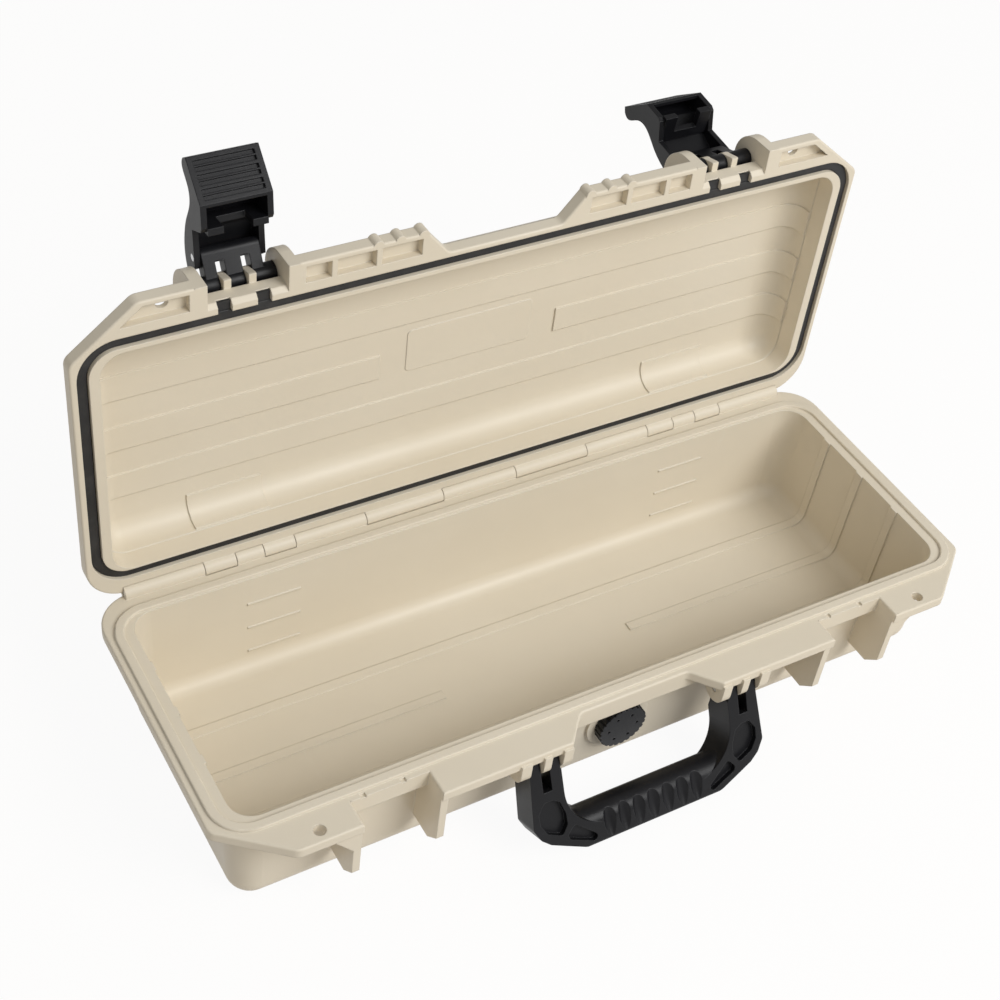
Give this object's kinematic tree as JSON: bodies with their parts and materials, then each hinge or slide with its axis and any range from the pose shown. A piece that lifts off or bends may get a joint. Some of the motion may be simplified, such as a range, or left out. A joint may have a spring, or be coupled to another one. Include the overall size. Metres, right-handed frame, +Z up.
{
  "type": "hinged protective case",
  "caption": "Long shallow hard plastic case with a hinged gasketed lid, two over-centre latches, a folding front handle and a pressure valve.",
  "frame": {"origin": "centre of the flat underside of the base", "axes": "+X along the case's length to the right, +Y from the handle side to the hinge side, +Z up"},
  "size_m": [0.5, 0.316, 0.3302],
  "materials": {
    "shell_plastic": "moulded sand-coloured polypropylene, fine satin grain",
    "black_plastic": "moulded black nylon, satin",
    "seal_rubber": "soft black sealing rubber",
    "pin_steel": "drawn steel pin",
    "membrane": "white breathable membrane"
  },
  "bodies": {
    "base": {"base_shell": "shell_plastic", "hinge_rod": "pin_steel", "left_handle_pin": "pin_steel", "right_handle_pin": "pin_steel", "valve_body": "black_plastic", "valve_ring": "seal_rubber", "valve_nut": "black_plastic", "valve_membrane": "membrane"},
    "lid": {"lid_shell": "shell_plastic", "lid_gasket": "seal_rubber", "left_lid_pin": "pin_steel", "right_lid_pin": "pin_steel"},
    "left_link": {"left_latch_link": "black_plastic", "left_lever_pin": "pin_steel"},
    "left_lever": {"left_latch_lever": "black_plastic"},
    "right_link": {"right_latch_link": "black_plastic", "right_lever_pin": "pin_steel"},
    "right_lever": {"right_latch_lever": "black_plastic"},
    "handle": {"handle": "black_plastic"},
    "valve_knob": {"valve_knob": "black_plastic"}
  },
  "joints": [
    {"name": "lid_hinge", "type": "hinge", "parent": "base", "child": "lid", "pos_m": [0, 0.0946, 0.0762], "axis": [1, 0, 0], "range_deg": [0, 90.7]},
    {"name": "left_link_hinge", "type": "hinge", "parent": "lid", "child": "left_link", "pos_m": [-0.1535, 0.11476, 0.26087], "axis": [1, 0, 0], "range_deg": [-76, 74]},
    {"name": "left_lever_hinge", "type": "hinge", "parent": "left_link", "child": "left_lever", "pos_m": [-0.1535, 0.12293, 0.27463], "axis": [1, 0, 0], "range_deg": [0, 22]},
    {"name": "right_link_hinge", "type": "hinge", "parent": "lid", "child": "right_link", "pos_m": [0.1535, 0.11476, 0.26087], "axis": [1, 0, 0], "range_deg": [0, 150]},
    {"name": "right_lever_hinge", "type": "hinge", "parent": "right_link", "child": "right_lever", "pos_m": [0.1535, 0.13008, 0.25627], "axis": [1, 0, 0], "range_deg": [0, 22]},
    {"name": "handle_hinge", "type": "hinge", "parent": "base", "child": "handle", "pos_m": [0, -0.0983, 0.063], "axis": [-1, 0, 0], "range_deg": [-22, 63]},
    {"name": "valve_turn", "type": "hinge", "parent": "base", "child": "valve_knob", "pos_m": [0, -0.0799, 0.0404], "axis": [0, -1, 0], "range_deg": [0, 180]}
  ]
}
